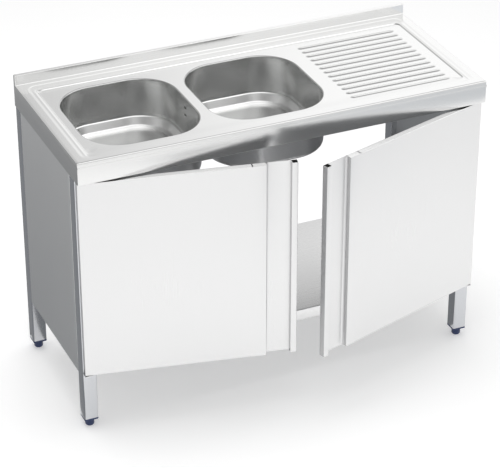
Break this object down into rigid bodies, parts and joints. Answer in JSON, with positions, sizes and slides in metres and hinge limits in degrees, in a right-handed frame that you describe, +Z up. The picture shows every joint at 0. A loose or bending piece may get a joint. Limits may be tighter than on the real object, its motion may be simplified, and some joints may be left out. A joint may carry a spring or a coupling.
{
  "type": "sink cabinet",
  "caption": "Stainless steel sink cabinet with two pressed bowls, a ribbed drainer and an upstand over a cupboard with pivoting doors on square legs",
  "frame": {"origin": "on the floor, under the middle of the work surface, the worktop without its upstand", "axes": "+X to the right of someone facing the doors, +Y towards the wall, +Z up"},
  "size_m": [1.2, 0.6741, 0.879],
  "materials": {
    "bright_steel": "satin",
    "satin_steel": "satin",
    "galvanised": "matte",
    "fastener_steel": "polished",
    "navy_plastic": "matte",
    "white_plastic": "matte",
    "black_plastic": "matte",
    "black_rubber": "matte"
  },
  "bodies": {
    "cabinet": {"sink_top": "bright_steel", "bowl_left": "bright_steel", "bowl_right": "bright_steel", "waste_body_left": "bright_steel", "waste_body_right": "bright_steel", "waste_gaskets": "black_rubber", "waste_nuts": "white_plastic", "overflow_elbow": "white_plastic", "overflow_pipe": "white_plastic", "top_stiffener": "galvanised", "front_rail": "satin_steel", "rear_rail": "satin_steel", "rail_screws": "fastener_steel", "leg_front_left": "satin_steel", "leg_front_right": "satin_steel", "leg_rear_left": "satin_steel", "leg_rear_right": "satin_steel", "foot_insert_front_left": "navy_plastic", "foot_insert_front_right": "navy_plastic", "foot_insert_rear_left": "navy_plastic", "foot_insert_rear_right": "navy_plastic", "side_panel_left": "satin_steel", "side_panel_right": "satin_steel", "side_liner_left": "satin_steel", "side_liner_right": "satin_steel", "bottom_shelf": "satin_steel", "shelf_stiffener": "galvanised", "shelf_screws": "fastener_steel", "pivot_bracket_top_left": "satin_steel", "pivot_bracket_top_right": "satin_steel", "pivot_bracket_bottom_left": "satin_steel", "pivot_bracket_bottom_right": "satin_steel", "pivot_pins_left": "fastener_steel", "pivot_pins_right": "fastener_steel", "catch_left": "black_plastic", "catch_right": "black_plastic", "catch_screws": "fastener_steel"},
    "door_left": {"door_skin_left": "satin_steel", "door_liner_left": "satin_steel", "door_tabs_left": "satin_steel", "pivot_bushes_left": "black_plastic", "strike_plate_left": "fastener_steel"},
    "door_right": {"door_skin_right": "satin_steel", "door_liner_right": "satin_steel", "door_tabs_right": "satin_steel", "pivot_bushes_right": "black_plastic", "strike_plate_right": "fastener_steel"},
    "foot_front_left": {"levelling_foot_front_left": "navy_plastic"},
    "foot_front_right": {"levelling_foot_front_right": "navy_plastic"},
    "foot_rear_left": {"levelling_foot_rear_left": "navy_plastic"},
    "foot_rear_right": {"levelling_foot_rear_right": "navy_plastic"},
    "basket_left": {"waste_basket_left": "bright_steel"},
    "basket_right": {"waste_basket_right": "bright_steel"}
  },
  "joints": [
    {"name": "door_left_pivot", "type": "hinge", "parent": "cabinet", "child": "door_left", "pos_m": [-0.5905, -0.229, 0.484], "axis": [0, 0, -1], "range_deg": [-11.7, 98.3]},
    {"name": "door_right_pivot", "type": "hinge", "parent": "cabinet", "child": "door_right", "pos_m": [0.5905, -0.229, 0.484], "axis": [0, 0, 1], "range_deg": [-17.7, 92.3]},
    {"name": "foot_front_left_turn", "type": "hinge", "parent": "cabinet", "child": "foot_front_left", "pos_m": [-0.5785, -0.195, 0.012], "axis": [0, 0, 1], "continuous": true},
    {"name": "foot_front_right_turn", "type": "hinge", "parent": "cabinet", "child": "foot_front_right", "pos_m": [0.5785, -0.195, 0.012], "axis": [0, 0, 1], "continuous": true},
    {"name": "foot_rear_left_turn", "type": "hinge", "parent": "cabinet", "child": "foot_rear_left", "pos_m": [-0.5785, 0.2405, 0.012], "axis": [0, 0, 1], "continuous": true},
    {"name": "foot_rear_right_turn", "type": "hinge", "parent": "cabinet", "child": "foot_rear_right", "pos_m": [0.5785, 0.2405, 0.012], "axis": [0, 0, 1], "continuous": true},
    {"name": "basket_left_lift", "type": "slide", "parent": "cabinet", "child": "basket_left", "axis": [0, 0, 1], "range_m": [0, 0.012]},
    {"name": "basket_right_lift", "type": "slide", "parent": "cabinet", "child": "basket_right", "axis": [0, 0, 1], "range_m": [0, 0.012]}
  ]
}
